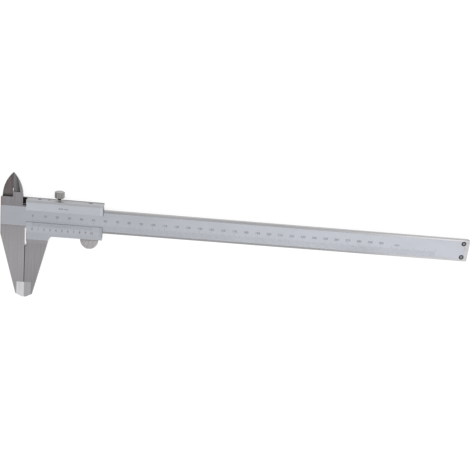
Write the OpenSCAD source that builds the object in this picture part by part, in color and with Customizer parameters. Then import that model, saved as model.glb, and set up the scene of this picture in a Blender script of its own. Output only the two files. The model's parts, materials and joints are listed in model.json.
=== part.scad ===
// Vernier caliper with outside jaws, crossed inside jaws, depth bar and knurled locking screw.
// X is the reading of the main scale, Y runs up from the lower guide edge of the beam, and
// Z rises from the back of the slider to the graduated face. The jaws are closed.

/* [Beam] */
// Width of the beam between its guide edges
beam_width = 20; // [16:0.5:26]
// Thickness of the beam and of the outside jaws
beam_thickness = 4; // [3.4:0.1:6]
// Measuring range of the main scale
measuring_range = 300; // [100:10:600]
// Slide left over past the end of the range, up to the stopper
over_travel = 10; // [2:0.5:30]
// Width of each raised rail beside the graduated band
rail_width = 1.8; // [1:0.1:3]
// Depth of the graduated band below the rails
band_depth = 0.15; // [0.05:0.05:0.3]
// Width of the raised border that closes the band at the far end
end_rail = 3.9; // [1:0.1:4.5]
// Chamfer on both corners of the beam's far end
end_chamfer = 0.6; // [0.3:0.1:3]
// Broken edge along the guide edges and the outside measuring edges
edge_break = 0.3; // [0.1:0.05:0.5]

/* [Fixed head] */
// Distance from the zero line back to the outside measuring plane
zero_to_jaw = 6; // [3:0.5:10]
// Width of the head behind the outside measuring plane
head_width = 20.5; // [17.5:0.1:26]
// Height of the head above the beam
head_rise = 6; // [5.5:0.5:10]
// Open gap between the head and the slider, above the beam
head_gap = 2.7; // [1:0.1:5]
// Chamfer on the head's upper corner
head_chamfer = 0.9; // [0.3:0.1:2]

/* [Outside jaws] */
// Depth of the outside jaws below the beam
jaw_depth = 63; // [45:0.5:90]
// Straight part of the fixed jaw's back, below the beam
jaw_shoulder = 6.5; // [4:0.5:12]
// Width of each jaw where its slanted back ends
jaw_tip_width = 7.1; // [4:0.1:9]
// Height of the slanted corner under each jaw's tip
jaw_tip_rise = 3.3; // [1:0.1:5]
// Width left flat at the very end of each tip
jaw_tip_flat = 1.6; // [0.8:0.1:3]
// Length of the thinned facet at each tip
facet_length = 14; // [8:0.5:20]
// Width of the thinned facet
facet_width = 6.2; // [3:0.1:7]
// Depth of the facet at the measuring edge
facet_depth = 1.2; // [0.5:0.1:1.5]
// Chamfer along the slanted backs of the jaws
jaw_chamfer = 0.4; // [0.2:0.1:1]
// Distance that the moving jaw is set back near the beam
relief_depth = 1.4; // [0.7:0.1:2]
// Distance that the fixed jaw is set back there
fixed_relief = 0.6; // [0.2:0.1:1]
// Length of both set-backs below the beam
relief_length = 14.9; // [12:0.1:25]

/* [Inside jaws] */
// Distance of the inside measuring plane from the outside one
inside_offset = 10.4; // [9.5:0.1:13]
// Height of the inside jaws' tips above the beam
inside_height = 26.8; // [20:0.2:34]
// Width of the moving blade at its root
blade_width = 8.8; // [6:0.1:9.6]
// Width left flat at the blades' tips
blade_tip_flat = 0.2; // [0.1:0.05:0.5]
// Width of the hollow-ground face at its shoulder
hollow_width = 5.8; // [3:0.1:6.5]
// Lean of the hollow-ground face towards the tip, in degrees
hollow_lean = 10; // [0:1:14]
// Thickness left at the measuring edges of the blades
edge_thickness = 0.35; // [0.2:0.05:0.8]
// Distance of the hollow-ground face's shoulder above the head
hollow_start = 4.3; // [2:0.1:7]
// Depth of the relief at the foot of the moving blade's edge
edge_relief = 0.5; // [0.2:0.1:1.2]
// Length of that relief
edge_relief_length = 2.6; // [1:0.1:4]
// Gap between the two blades where they pass each other
blade_gap = 0.1; // [0.06:0.02:0.3]

/* [Slider] */
// Distance of the slider's near end from the outside measuring plane
slider_setback = 0.5; // [0.2:0.1:0.6]
// Length of the slider along the beam
slider_length = 63.7; // [58:0.1:90]
// Height of the slider above the beam
slider_rise = 5.1; // [4.5:0.1:7]
// Height of the slider below the beam
slider_drop = 5.4; // [3.5:0.1:8]
// Thickness of the back plate
back_plate = 2.6; // [2:0.1:4]
// Thickness of the two front lips
front_lip = 2.8; // [2:0.1:4]
// Sliding clearance around the beam
slide_clearance = 0.05; // [0.02:0.01:0.1]
// Reach of the upper lip down over the beam
upper_reach = 4.5; // [3:0.1:6]
// Width of the flat strip above the upper bevel
upper_strip = 2.1; // [1:0.1:3]
// Reach of the vernier lip up over the beam
vernier_reach = 5.2; // [3.5:0.1:6.5]
// Width of the flat strip under the vernier bevel
lower_strip = 2.6; // [1:0.1:3]
// Thickness of both lips at their thin edges
lip_edge = 0.35; // [0.2:0.05:0.8]
// Chamfer on the far end of both bevels
lip_chamfer = 0.5; // [0.3:0.1:1.8]
// Width of the moving jaw at the slider's lower edge
jaw_root = 20; // [15:0.1:26]
// Height of the thick root of the moving jaw below the slider
root_height = 3.6; // [2:0.1:6]
// Length of the slope from that root down to the jaw's face
root_slope = 4.4; // [1.5:0.1:5]
// Fillet between the moving jaw's back and the slider
root_fillet = 2.4; // [0.6:0.1:3]

/* [Thumb rest] */
// Radius of the thumb rest
thumb_radius = 7.5; // [5:0.05:9]
// Distance of its centre below the slider
thumb_drop = 1.9; // [0.5:0.05:3]
// Distance of its centre from the slider's far end
thumb_from_end = 10.8; // [9.5:0.1:20]
// Distance that it is set back from the slider's front
thumb_setback = 2; // [1:0.1:3]
// Thickness of the thumb rest
thumb_thickness = 6; // [4:0.1:6.2]
// Chamfer around its rim
thumb_chamfer = 0.7; // [0.2:0.1:1.2]
// Number of grip flutes around its rim
thumb_flutes = 17; // [9:1:25]
// Depth of the grip flutes
flute_depth = 0.3; // [0.1:0.05:0.5]

/* [Gib] */
// Thickness of the gib
gib_thickness = 1.5; // [1:0.1:1.8]
// Room above the gib for its adjustment
gib_room = 0.4; // [0.2:0.05:0.6]
// Distance of the gib's ends from the slider's ends
gib_inset = 1.6; // [1.5:0.1:4]
// Diameter of the gib pressing screws
pressing_screw = 3; // [2:0.1:3.4]
// Distance of the left pressing screw from the slider's near end
pressing_left = 10.6; // [6:0.1:14]
// Distance of the right pressing screw from the slider's far end
pressing_right = 11.2; // [6:0.1:16]
// Diameter of the gib setting screw
setting_screw = 2; // [1.6:0.1:3]
// Distance of the setting screw from the slider's near end
setting_place = 18.4; // [17:0.1:20]
// Depth of the sunk screws below the slider's top
screw_sink = 0.4; // [0.2:0.1:1]
// Radial clearance of screws and pins in their holes
fit_clearance = 0.03; // [0.02:0.01:0.08]

/* [Locking screw] */
// Distance of the locking screw from the slider's near end
lock_place = 26.6; // [23:0.1:30]
// Diameter of its shank
lock_shank = 2.8; // [2.4:0.1:3.6]
// Diameter of its knurled head
lock_head = 8.1; // [6:0.1:9]
// Height of the knurled head
lock_head_height = 5.3; // [3:0.1:8]
// Height of the head above the slider
lock_stand = 2.6; // [1:0.1:6]
// Number of knurls around the head
lock_knurls = 30; // [18:1:40]
// Depth of the knurls
knurl_depth = 0.28; // [0.1:0.02:0.4]
// Chamfer on both rims of the head
lock_chamfer = 0.4; // [0.3:0.1:1.2]

/* [Depth bar] */
// Width of the depth bar
bar_width = 4; // [3:0.1:5]
// Thickness of the depth bar
bar_thickness = 1.85; // [1.2:0.05:2]
// Length of the depth bar held inside the slider
bar_hold = 46; // [36:0.5:56]
// Clearance of the depth bar in its groove
bar_clearance = 0.1; // [0.05:0.01:0.2]
// Bevel on the depth bar's tip
bar_bevel = 1.6; // [0.5:0.1:2.5]
// Diameter of the depth bar's pins
pin_diameter = 2; // [1.2:0.1:2.6]
// Distance between the two pins
pin_spacing = 22; // [12:0.5:28]
// Depth of the pins' ends below the slider's back
pin_sink = 0.1; // [0.05:0.05:0.4]

/* [Stopper] */
// Length of the stopper plate
stopper_length = 11.9; // [9.5:0.1:18]
// Thickness of the stopper plate
stopper_thickness = 1.9; // [1.2:0.1:2.5]
// Distance of the plate's sides from the beam's edges
stopper_inset = 1; // [0.2:0.1:1.5]
// Distance of the plate's end from the beam's end
stopper_setback = 0.4; // [0.2:0.1:1]
// Diameter of the stopper screws
stopper_screw_size = 2.5; // [2:0.1:3]
// Diameter of their countersunk heads
stopper_head = 4.4; // [3.8:0.1:5]
// Height of the straight rim of those heads
stopper_rim = 0.2; // [0.1:0.05:0.4]
// Height of their domed tops above the band
stopper_dome = 0.5; // [0.2:0.05:0.8]
// Distance between the two stopper screws
stopper_spacing = 12.5; // [10:0.1:13]
// Distance of the screws from the beam's end
stopper_screw_place = 5.3; // [4.5:0.1:6]
// Width of the driver slots in all screws
slot_width = 0.6; // [0.4:0.05:0.8]
// Depth of the driver slots
slot_depth = 0.7; // [0.3:0.05:0.8]

/* [Hidden] */
$fn = 64;

// Cutting shapes run this far past the surface that they cut
past = 1;

// Colours of the finishes
satin_chrome = [0.71, 0.72, 0.75];
ground_steel = [0.58, 0.57, 0.58];
bronze = [0.66, 0.50, 0.30];
dark_steel = [0.20, 0.20, 0.21];

// Levels from the slider's back to its front
beam_back = back_plate + slide_clearance;
beam_front = beam_back + beam_thickness;
beam_middle = (beam_back + beam_front) / 2;
band_face = beam_front - band_depth;
lip_back = beam_front + slide_clearance;
slider_front = lip_back + front_lip;
lip_level = lip_back + lip_edge;

// Places along the beam
jaw_x = -zero_to_jaw;
head_left = jaw_x - head_width;
relief_x = jaw_x + relief_depth;
slider_left = jaw_x + slider_setback;
slider_right = slider_left + slider_length;
head_right = slider_left - head_gap;
inside_x = jaw_x - inside_offset;
stop_x = slider_right + measuring_range + over_travel;
beam_end = stop_x + stopper_length;

// Heights across the beam
head_top = beam_width + head_rise;
slider_top = beam_width + slider_rise;
slider_bottom = -slider_drop;
inside_tip = beam_width + inside_height;
channel_bottom = -slide_clearance;
gib_bottom = beam_width + slide_clearance;
gib_top = gib_bottom + gib_thickness;
channel_top = gib_top + gib_room;
hollow_y = head_top + hollow_start;

// Blades: each curved back is an arc that rises square from the root and ends at the tip
blade_height = inside_tip - head_top;
fixed_blade_width = head_right - inside_x;
hollow_depth = beam_front - beam_middle - blade_gap / 2 - edge_thickness;
hollow_radius = (hollow_width ^ 2 + hollow_depth ^ 2) / (2 * hollow_depth);
function back_radius(width) = (width ^ 2 + blade_height ^ 2) / (2 * width);

// Outline of the fixed jaw's slanted back and of the moving one's
tip_y = -jaw_depth + jaw_tip_rise;
fixed_slant = [[head_left, -jaw_shoulder], [jaw_x - jaw_tip_width, tip_y]];
moving_slant = [[slider_left + jaw_root, slider_bottom], [jaw_x + jaw_tip_width, tip_y]];
// Point on the moving jaw's back a little below the slope of its thick root
root_part = (root_height + root_slope + 2 * past) / (slider_bottom - tip_y);
moving_slant_foot = moving_slant[0] + root_part * (moving_slant[1] - moving_slant[0]);

// Screws and pins
lock_x = slider_left + lock_place;
pressing_x = [slider_left + pressing_left, slider_right - pressing_right];
setting_x = slider_left + setting_place;
bar_y = beam_width / 2;
bar_top = back_plate + bar_thickness;
bar_left = slider_right - bar_hold;
pin_x = [bar_left + (bar_hold - pin_spacing) / 2, bar_left + (bar_hold + pin_spacing) / 2];
stopper_screw_x = beam_end - stopper_screw_place;
stopper_back = beam_back - stopper_thickness;
stopper_cone = (stopper_head - stopper_screw_size) / 2;
dome_radius = (stopper_head ^ 2 / 4 + stopper_dome ^ 2) / (2 * stopper_dome);
thumb_x = slider_right - thumb_from_end;
thumb_y = slider_bottom - thumb_drop;
thumb_front = slider_front - thumb_setback;

// An outline in X and Y, thick in Z
module plate(points, low, high) {
  translate([0, 0, low])
    linear_extrude(high - low)
      polygon(points);
}

// An outline in Y and Z, carried along X
module bar_along_x(points, from, to) {
  translate([from, 0, 0])
    rotate([90, 0, 90])
      linear_extrude(to - from)
        polygon(points);
}

// An outline in X and Z, carried along Y
module bar_along_y(points, from, to) {
  translate([0, to, 0])
    rotate([90, 0, 0])
      linear_extrude(to - from)
        polygon(points);
}

// A round hole or shank along Y
module round_along_y(x, z, radius, from, to) {
  translate([x, from, z])
    rotate([-90, 0, 0])
      cylinder(r = radius, h = to - from);
}

// A three-sided bar, which cuts a chamfer along the straight edge from a to b of the beam or a jaw.
// The steel lies left of the way from a to b; out is 1 on the front face and -1 on the back.
module chamfer_edge(a, b, out, leg) {
  translate([a[0], a[1], out > 0 ? beam_front : beam_back])
    rotate([0, 0, atan2(b[1] - a[1], b[0] - a[0])])
      bar_along_x(
        [[leg + past, out * past], [-past, out * past], [-past, -out * (leg + past)]],
        -leg,
        norm(b - a) + leg
      );
}

// A square bar on edge, for an edge that lies in a plane across the beam, given in Y and Z
module chamfer_across(x, a, b, leg) {
  side = leg * sqrt(2);
  translate([x, a[0], a[1]])
    rotate([atan2(b[1] - a[1], b[0] - a[0]), 0, 0])
      rotate([0, 45, 0])
        translate([-side / 2, 0, -side / 2])
          cube([side, norm(b - a), side]);
}

// The wedge that thins a jaw's tip towards its measuring edge; side is -1 left and 1 right
module tip_facet(side, level, inward) {
  bar_along_y(
    [
      [jaw_x + side * facet_width, level],
      [jaw_x, level + inward * facet_depth],
      [jaw_x - side * past, level + inward * facet_depth],
      [jaw_x - side * past, level - inward * past],
      [jaw_x + side * facet_width, level - inward * past]
    ],
    -jaw_depth - past,
    -jaw_depth + facet_length
  );
}

module tip_facets(side) {
  tip_facet(side, beam_front, -1);
  tip_facet(side, beam_back, 1);
}

// Outline of an inside blade from its straight edge at x = 0 to its curved back, rooted in the head
module blade_outline(width) {
  intersection() {
    translate([0, -past])
      square([width, past + blade_height - blade_tip_flat]);
    translate([width - back_radius(width), 0])
      circle(back_radius(width), $fn = 128);
  }
}

// Round wheel that hollows a blade from one face; inward is -1 from the front and 1 from the back
module hollow_grind(level, inward) {
  translate([inside_x, hollow_y, level + inward * (hollow_depth - hollow_radius)])
    intersection() {
      rotate([-90, 0, -inward * hollow_lean])
        translate([0, 0, -blade_height])
          cylinder(r = hollow_radius, h = 3 * blade_height, $fn = 128);
      translate([-3 * hollow_radius, 0, -hollow_radius])
        cube([6 * hollow_radius, 2 * blade_height, 2 * hollow_radius]);
    }
}

// Beam with the fixed outside jaw and the head that carries the fixed inside blade
module beam_blank() {
  plate(
    [
      [head_left, beam_width],
      fixed_slant[0],
      fixed_slant[1],
      [jaw_x - jaw_tip_flat, -jaw_depth],
      [jaw_x, -jaw_depth],
      [jaw_x, -relief_length - fixed_relief],
      [jaw_x - fixed_relief, -relief_length],
      [jaw_x - fixed_relief, 0],
      [beam_end - end_chamfer, 0],
      [beam_end, end_chamfer],
      [beam_end, beam_width - end_chamfer],
      [beam_end - end_chamfer, beam_width]
    ],
    beam_back,
    beam_front
  );
  plate(
    [
      [head_left, beam_width - past],
      [head_right, beam_width - past],
      [head_right, head_top],
      [head_left + head_chamfer, head_top],
      [head_left, head_top - head_chamfer]
    ],
    beam_middle + blade_gap / 2,
    beam_front
  );
  translate([inside_x, head_top, beam_middle + blade_gap / 2])
    linear_extrude(beam_front - beam_middle - blade_gap / 2)
      blade_outline(fixed_blade_width);
}

module graduated_band() {
  bar_along_x(
    [
      [rail_width, beam_front + past],
      [rail_width, beam_front],
      [rail_width + band_depth, band_face],
      [beam_width - rail_width - band_depth, band_face],
      [beam_width - rail_width, beam_front],
      [beam_width - rail_width, beam_front + past]
    ],
    head_left - past,
    beam_end - end_rail
  );
}

module depth_groove() {
  translate([bar_left - past, bar_y - bar_width / 2 - bar_clearance, beam_back - past])
    cube([
      beam_end - bar_left + 2 * past,
      bar_width + 2 * bar_clearance,
      bar_top + bar_clearance - beam_back + past
    ]);
}

// Head, cone and shank of a stopper screw, grown by a clearance to make its hole
module stopper_screw_body(gap, bottom, top) {
  rim = band_face - stopper_rim;
  rotate_extrude()
    polygon([
      [0, bottom],
      [stopper_screw_size / 2 + gap, bottom],
      [stopper_screw_size / 2 + gap, rim - stopper_cone],
      [stopper_head / 2 + gap, rim],
      [stopper_head / 2 + gap, top],
      [0, top]
    ]);
}

function stopper_place(side) = [stopper_screw_x, beam_width / 2 + side * stopper_spacing / 2, 0];

module main_beam() {
  color(satin_chrome)
    difference() {
      beam_blank();
      graduated_band();
      depth_groove();
      tip_facets(-1);
      for (side = [-1, 1])
        translate(stopper_place(side))
          stopper_screw_body(fit_clearance, beam_back - past, beam_front + past);
      hollow_grind(beam_front, -1);
      for (out = [-1, 1]) {
        chamfer_edge(fixed_slant[0], fixed_slant[1], out, jaw_chamfer);
        chamfer_edge([head_left, head_top], fixed_slant[0], out, jaw_chamfer);
        chamfer_edge([jaw_x, -jaw_depth], [jaw_x, -relief_length - relief_depth], out, edge_break);
        chamfer_edge([beam_end, beam_width], [slider_left, beam_width], out, edge_break);
        chamfer_edge([slider_left, 0], [beam_end, 0], out, edge_break);
      }
    }
}

module stopper_plate() {
  color(ground_steel)
    difference() {
      translate([stop_x, stopper_inset, stopper_back])
        cube([
          stopper_length - stopper_setback,
          beam_width - 2 * stopper_inset,
          stopper_thickness
        ]);
      translate([
        stop_x - past,
        bar_y - bar_width / 2 - bar_clearance,
        back_plate - bar_clearance
      ])
        cube([stopper_length + 2 * past, bar_width + 2 * bar_clearance, back_plate]);
      for (side = [-1, 1])
        translate(stopper_place(side))
          stopper_screw_body(fit_clearance, stopper_back - past, beam_front);
    }
}

module stopper_screw(side) {
  color(dark_steel)
    translate(stopper_place(side))
      difference() {
        union() {
          stopper_screw_body(0, stopper_back + pin_sink, band_face);
          rotate_extrude()
            intersection() {
              translate([0, band_face + stopper_dome - dome_radius])
                circle(dome_radius, $fn = 128);
              translate([0, band_face - stopper_rim])
                square([stopper_head / 2, stopper_rim + stopper_dome]);
            }
        }
        rotate([0, 0, -45])
          translate([-stopper_head, -slot_width / 2, band_face + stopper_dome - slot_depth])
            cube([2 * stopper_head, slot_width, slot_depth + past]);
      }
}

// Section of the slider across the beam: back plate, gib channel and the two bevelled lips
slider_section = [
  [slider_bottom, 0],
  [slider_top, 0],
  [slider_top, slider_front],
  [slider_top - upper_strip, slider_front],
  [beam_width - upper_reach, lip_level],
  [beam_width - upper_reach, lip_back],
  [channel_top, lip_back],
  [channel_top, back_plate],
  [channel_bottom, back_plate],
  [channel_bottom, lip_back],
  [vernier_reach, lip_back],
  [vernier_reach, lip_level],
  [slider_bottom + lower_strip, slider_front],
  [slider_bottom, slider_front]
];

// Outline of the moving jaw, relieved near the beam
moving_jaw_outline = [
  [relief_x, channel_bottom - slide_clearance],
  [relief_x, -relief_length],
  [jaw_x, -relief_length - relief_depth],
  [jaw_x, -jaw_depth],
  [jaw_x + jaw_tip_flat, -jaw_depth],
  moving_slant[1],
  moving_slant[0],
  [moving_slant[0][0], channel_bottom - slide_clearance]
];

module moving_jaw() {
  plate(moving_jaw_outline, beam_back, beam_front);
  // Thick root, sloped down to the jaw's faces
  intersection() {
    plate(moving_jaw_outline, 0, slider_front);
    bar_along_x(
      [
        [slider_bottom + lower_strip, 0],
        [slider_bottom - root_height, 0],
        [slider_bottom - root_height - root_slope, beam_back],
        [slider_bottom - root_height - root_slope, beam_front],
        [slider_bottom - root_height, slider_front],
        [slider_bottom + lower_strip, slider_front]
      ],
      jaw_x,
      slider_right
    );
  }
  // Fillet between the jaw's back and the slider's lower edge
  difference() {
    translate([moving_slant[0][0] - root_fillet, slider_bottom - root_fillet, 0])
      cube([2 * root_fillet, root_fillet + past, slider_front]);
    translate([moving_slant[0][0] + root_fillet, slider_bottom - root_fillet, -past])
      cylinder(r = root_fillet, h = slider_front + 2 * past);
  }
}

// Moving inside blade and the arm that carries it behind the head
module moving_blade() {
  blade_front = beam_middle - blade_gap / 2;
  arm_bottom = beam_width + gib_room;
  difference() {
    union() {
      plate(
        [
          [head_left, arm_bottom],
          [slider_left + past, arm_bottom],
          [slider_left + past, slider_top - past],
          [slider_left, head_top],
          [head_left + head_chamfer, head_top],
          [head_left, head_top - head_chamfer]
        ],
        beam_back,
        blade_front
      );
      translate([inside_x, head_top, beam_back])
        mirror([1, 0, 0])
          linear_extrude(blade_front - beam_back)
            blade_outline(blade_width);
    }
    hollow_grind(beam_back, 1);
    translate([inside_x - edge_relief, hollow_y, beam_back - past])
      cube([edge_relief + past, edge_relief_length, beam_thickness]);
  }
}

// Round thumb rest with a chamfered rim and grip flutes, below the slider
module thumb_rest() {
  bottom = thumb_front - thumb_thickness;
  difference() {
    translate([thumb_x, thumb_y, 0])
      difference() {
        rotate_extrude()
          polygon([
            [0, bottom],
            [thumb_radius - thumb_chamfer, bottom],
            [thumb_radius, bottom + thumb_chamfer],
            [thumb_radius, thumb_front - thumb_chamfer],
            [thumb_radius - thumb_chamfer, thumb_front],
            [0, thumb_front]
          ]);
        for (i = [1 : thumb_flutes])
          rotate([0, 0, -180 * i / (thumb_flutes + 1)])
            translate([thumb_radius + flute_depth, 0, bottom - past])
              cylinder(r = 2 * flute_depth, h = thumb_thickness + 2 * past, $fn = 24);
      }
    translate([thumb_x - 2 * thumb_radius, slider_bottom + past, 0])
      cube([4 * thumb_radius, 2 * thumb_radius, slider_front]);
  }
}

module slider() {
  color(satin_chrome)
    difference() {
      union() {
        difference() {
          bar_along_x(slider_section, slider_left, slider_right);
          // Clear of the fixed jaw below the beam
          translate([slider_left - past, slider_bottom - past, -past])
            cube([relief_x - slider_left + past, past - slider_bottom, slider_front + 2 * past]);
        }
        moving_jaw();
        moving_blade();
        thumb_rest();
      }
      tip_facets(1);
      for (out = [-1, 1]) {
        chamfer_edge(moving_slant[1], moving_slant_foot, out, jaw_chamfer);
        chamfer_edge([jaw_x, -relief_length - relief_depth], [jaw_x, -jaw_depth], out, edge_break);
      }
      chamfer_across(
        slider_right,
        [beam_width - upper_reach, lip_level],
        [slider_top - upper_strip, slider_front],
        lip_chamfer
      );
      chamfer_across(
        slider_right,
        [slider_bottom + lower_strip, slider_front],
        [vernier_reach, lip_level],
        lip_chamfer
      );
      round_along_y(lock_x, beam_middle, lock_shank / 2 + fit_clearance, gib_top, slider_top + past);
      for (x = pressing_x)
        round_along_y(x, beam_middle, pressing_screw / 2 + fit_clearance, gib_top, slider_top + past);
      round_along_y(setting_x, beam_middle, setting_screw / 2 + fit_clearance, gib_top, slider_top + past);
      for (x = pin_x)
        translate([x, bar_y, -past])
          cylinder(d = pin_diameter + 2 * fit_clearance, h = back_plate + 2 * past);
    }
}

module gib() {
  color(bronze)
    difference() {
      translate([slider_left + gib_inset, gib_bottom, back_plate + slide_clearance])
        cube([slider_length - 2 * gib_inset, gib_thickness, beam_thickness]);
      round_along_y(
        setting_x,
        beam_middle,
        setting_screw / 4 + fit_clearance,
        gib_bottom - past,
        gib_top + past
      );
    }
}

// A slotted grub screw along Y, from the gib up to just under the slider's top
module grub_screw(x, diameter, bottom) {
  top = slider_top - screw_sink;
  difference() {
    round_along_y(x, beam_middle, diameter / 2, bottom, top);
    translate([x - diameter, top - slot_depth, beam_middle - slot_width / 2])
      cube([2 * diameter, slot_depth + past, slot_width]);
  }
}

module gib_pressing_screw(i) {
  color(dark_steel)
    grub_screw(pressing_x[i], pressing_screw, gib_top);
}

// Its thin nose sits in the gib's hole and keeps the gib from creeping along the beam
module gib_setting_screw() {
  color(dark_steel) {
    grub_screw(setting_x, setting_screw, gib_top);
    round_along_y(setting_x, beam_middle, setting_screw / 4, gib_bottom + gib_thickness / 2, gib_top);
  }
}

module depth_bar() {
  color(ground_steel)
    difference() {
      plate(
        [
          [bar_left, bar_y - bar_width / 2],
          [beam_end, bar_y - bar_width / 2],
          [beam_end, bar_y + bar_width / 2 - bar_bevel],
          [beam_end - bar_bevel, bar_y + bar_width / 2],
          [bar_left, bar_y + bar_width / 2]
        ],
        back_plate,
        bar_top
      );
      for (x = pin_x)
        translate([x, bar_y, back_plate - past])
          cylinder(d = pin_diameter + 2 * fit_clearance, h = bar_thickness + 2 * past);
    }
}

module depth_bar_pin(i) {
  color(ground_steel)
    translate([pin_x[i], bar_y, pin_sink])
      cylinder(d = pin_diameter, h = bar_top - 2 * pin_sink);
}

// Star outline of the knurls
function knurl_points(radius) = [
  for (i = [0 : 2 * lock_knurls - 1])
    (i % 2 == 0 ? radius : radius - knurl_depth)
      * [cos(180 * i / lock_knurls), sin(180 * i / lock_knurls)]
];

module locking_screw() {
  head_low = slider_top + lock_stand;
  head_high = head_low + lock_head_height;
  tip = gib_top + gib_room / 4;
  color(ground_steel)
    translate([lock_x, 0, beam_middle])
      rotate([-90, 0, 0]) {
        intersection() {
          translate([0, 0, head_low])
            linear_extrude(lock_head_height)
              polygon(knurl_points(lock_head / 2));
          rotate_extrude()
            polygon([
              [0, head_low],
              [lock_head / 2 - lock_chamfer, head_low],
              [lock_head / 2 + past, head_low + lock_chamfer + past],
              [lock_head / 2 + past, head_high - lock_chamfer - past],
              [lock_head / 2 - lock_chamfer, head_high],
              [0, head_high]
            ]);
        }
        translate([0, 0, tip])
          cylinder(d = lock_shank, h = head_low - tip);
      }
}

main_beam();
stopper_plate();
stopper_screw(1);  // stopper_screw_upper
stopper_screw(-1);  // stopper_screw_lower
slider();
gib();
gib_pressing_screw(0);  // gib_pressing_screw_left
gib_pressing_screw(1);  // gib_pressing_screw_right
gib_setting_screw();
depth_bar();
depth_bar_pin(0);  // depth_bar_pin_left
depth_bar_pin(1);  // depth_bar_pin_right
locking_screw();
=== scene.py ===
import json
import math
import bmesh
import bpy
import numpy as np
from mathutils import Matrix, Vector


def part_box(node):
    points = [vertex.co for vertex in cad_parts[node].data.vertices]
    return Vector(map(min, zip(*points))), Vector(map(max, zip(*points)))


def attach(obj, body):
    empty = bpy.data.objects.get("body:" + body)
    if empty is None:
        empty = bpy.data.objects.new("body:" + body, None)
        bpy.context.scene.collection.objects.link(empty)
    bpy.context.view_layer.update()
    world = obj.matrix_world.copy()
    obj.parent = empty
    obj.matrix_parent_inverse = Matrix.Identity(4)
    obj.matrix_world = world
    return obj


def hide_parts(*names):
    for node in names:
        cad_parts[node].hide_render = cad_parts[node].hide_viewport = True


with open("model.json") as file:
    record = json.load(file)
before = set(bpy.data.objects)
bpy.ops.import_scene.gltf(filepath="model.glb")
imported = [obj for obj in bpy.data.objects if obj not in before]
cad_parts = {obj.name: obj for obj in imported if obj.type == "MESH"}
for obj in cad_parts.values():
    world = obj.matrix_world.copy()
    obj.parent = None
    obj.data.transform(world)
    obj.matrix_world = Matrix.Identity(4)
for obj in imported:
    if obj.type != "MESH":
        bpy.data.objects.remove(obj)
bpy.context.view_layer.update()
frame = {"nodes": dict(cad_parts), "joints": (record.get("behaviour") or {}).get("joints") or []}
mm = 0.001               # lengths below are millimetres, meshes are metres
nodes = frame["nodes"]
joints = {joint["name"]: joint for joint in frame["joints"]}
print("frame loaded:", len(nodes), "nodes")


# lowest and highest corner of a node, in millimetres
def boxOf(name):
    low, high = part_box(name)
    return np.array(low) / mm, np.array(high) / mm


beamLow, beamHigh = boxOf("main_beam")
lockLow, lockHigh = boxOf("locking_screw")
lockPivot = np.array(joints["locking_screw_turn"]["pos_m"]) / mm

# where each finish starts and ends on the beam and its head
beam = {
    "left": beamLow[0],
    "end": beamHigh[0],
    "front": beamHigh[2],
    "width": 20.0,          # between the guide edges, the lower one at y = 0
    "rail": 1.85,           # ground rail beside the graduated band, with its step
    "bandDepth": 0.15,      # band below the rails
    "headRight": -8.2,
    "insideEdge": -16.4,    # measuring plane of the inside blades
    "hollowWidth": 5.8,     # hollow-ground face of each blade
    "hollowFoot": 30.3,
    "jaw": -6.0,            # outside measuring plane
    "jawEdge": 0.32,        # broken edge beside it
    "reliefFoot": -16.0,    # the jaws touch below this
    "relief": -6.6,         # wall of the fixed jaw above it
    "facetTop": -49.0,      # the tips are thinned below this
    "endRail": 3.9,         # raised border at the far end
}
beam["bandFace"] = beam["front"] - beam["bandDepth"]
beam["bandEnd"] = beam["end"] - beam["endRail"]

# the same on the slider; edges and feet of the bevels are given as y and z
slider = {
    "left": -5.5,
    "bottom": -5.4,
    "top": lockPivot[1],
    "front": boxOf("slider")[1][2],
    "upperEdge": (15.5, 7.05),
    "upperFoot": (23.0, 9.5),
    "vernierEdge": (5.2, 7.05),
    "vernierFoot": (-2.8, 9.5),
    "relief": -4.6,         # wall of the moving jaw's relief
    "rootFoot": -9.05,      # satin ends here on the thick root of the moving jaw
    "thumbLeft": 35.0,      # the thumb rest lies right of this, below the slider
    "bladeFront": 4.6,      # front of the moving blade and of its arm
}

crisp = 0.02             # a finish changes over about this much,
blend = 0.1              # or over this much where it may be softer
faceEdge = (0.45, 0.55)  # a face looks along an axis from about these cosines on
wideSpan = 0.3           # noise is taken this far either way of 0.5,
span = 0.25
narrowSpan = 0.2         # or less far, for more contrast
plainDetail = 2.0        # detail of most noises,
richDetail = 3.0         # and of those that need more of it
noiseRoughness = 0.55


# a socket takes a link from another socket, or a plain value
def feed(tree, socket, value):
    if isinstance(value, bpy.types.NodeSocket):
        tree.links.new(value, socket)
    else:
        socket.default_value = value


def addNode(tree, kind, inputs=None, **settings):
    node = tree.nodes.new(kind)
    for name, value in settings.items():
        setattr(node, name, value)
    for name, value in (inputs or {}).items():
        feed(tree, node.inputs[name], value)
    return node


def calc(tree, operation, first, second=0.0):
    return addNode(tree, "ShaderNodeMath", {0: first, 1: second}, operation=operation).outputs[0]


# product of values; that of masks is 1 where all of them are
def times(tree, *values):
    result = values[0]
    for value in values[1:]:
        result = calc(tree, "MULTIPLY", result, value)
    return result


def either(tree, first, second):
    return calc(tree, "MAXIMUM", first, second)


# straight from low at start to high at end, and level outside
def ramp(tree, value, start, end, low=0.0, high=1.0, shape="LINEAR"):
    inputs = {"Value": value, "From Min": start, "From Max": end, "To Min": low, "To Max": high}
    return addNode(tree, "ShaderNodeMapRange", inputs, interpolation_type=shape).outputs[0]


# one value where the mask is 0, another where it is 1
def choose(tree, mask, off, on):
    return ramp(tree, mask, 0, 1, off, on)


# 1 between low and high, with edges twice soft wide
def between(tree, value, low, high, soft=crisp):
    return times(
        tree, ramp(tree, value, low - soft, low + soft), ramp(tree, value, high + soft, high - soft)
    )


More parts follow.
